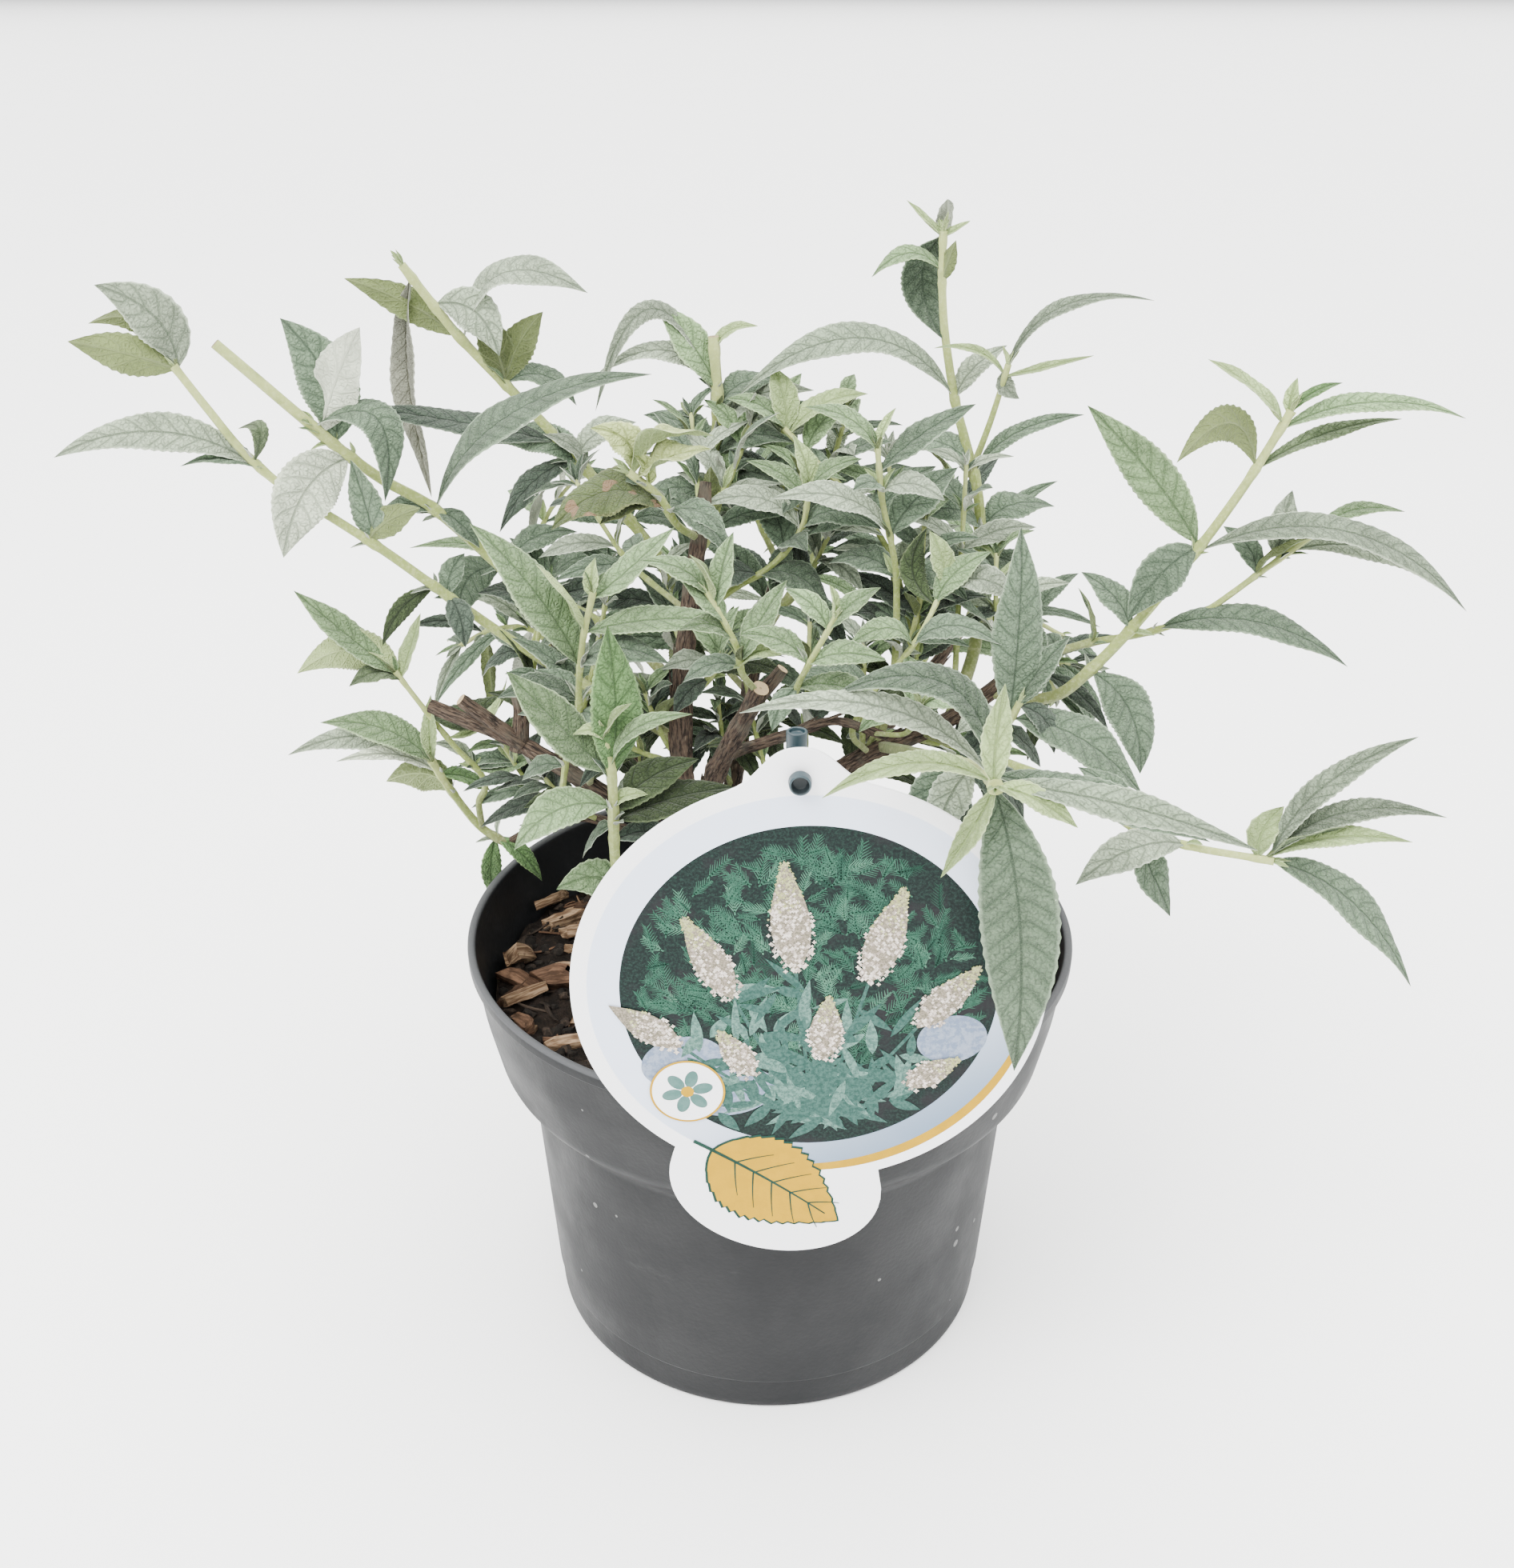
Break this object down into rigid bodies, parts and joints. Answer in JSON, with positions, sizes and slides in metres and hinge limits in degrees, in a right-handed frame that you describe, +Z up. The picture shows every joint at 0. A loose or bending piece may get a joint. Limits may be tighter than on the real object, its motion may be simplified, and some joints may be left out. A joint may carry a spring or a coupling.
{
  "type": "potted butterfly bush",
  "caption": "Small butterfly bush in a round dark grey nursery pot, with lance-shaped grey-green leaves in opposite pairs on pale shoots and a round hanging plant label.",
  "frame": {"origin": "centre of the pot's flat underside", "axes": "+Z up the plant, -Y towards the side with the label, +X to the right seen from the label's side"},
  "size_m": [0.4022, 0.2569, 0.3467],
  "materials": {
    "pot_plastic": "dark grey moulded nursery pot, matt with fine scuffs",
    "soil": "dark potting soil with bark chips",
    "tag_card": "printed plastic plant label",
    "peg_plastic": "dark teal moulded peg",
    "bark": "brown fissured bark",
    "foliage": "grey-green felted leaves on pale green stems"
  },
  "bodies": {
    "root": {"limb_back": "bark", "limb_back_left": "bark", "limb_back_right": "bark", "limb_centre": "bark", "limb_front": "bark", "limb_left": "bark", "limb_low_left": "bark", "limb_right": "bark", "limb_thin": "bark", "main_stem": "bark", "pot": "pot_plastic", "shoot_back_a": "foliage", "shoot_back_b": "foliage", "shoot_back_c": "foliage", "shoot_back_centre": "foliage", "shoot_back_d": "foliage", "shoot_back_left": "foliage", "shoot_back_left_a": "foliage", "shoot_back_left_b": "foliage", "shoot_back_left_c": "foliage", "shoot_back_right_a": "foliage", "shoot_back_right_b": "foliage", "shoot_back_right_c": "foliage", "shoot_bare_left": "foliage", "shoot_centre_low": "foliage", "shoot_centre_mid": "foliage", "shoot_centre_top": "foliage", "shoot_curled": "foliage", "shoot_far_left": "foliage", "shoot_front_centre": "foliage", "shoot_front_left": "foliage", "shoot_front_small": "foliage", "shoot_front_star": "foliage", "shoot_front_thin": "foliage", "shoot_left_front_high": "foliage", "shoot_left_inner": "foliage", "shoot_low_left": "foliage", "shoot_low_right": "foliage", "shoot_right_centre": "foliage", "shoot_right_cluster": "foliage", "shoot_right_front": "foliage", "shoot_right_long": "foliage", "shoot_right_side": "foliage", "shoot_short_left": "foliage", "shoot_tall_right": "foliage", "soil": "soil", "tag": "tag_card", "tag_stake": "peg_plastic"}
  },
  "joints": []
}
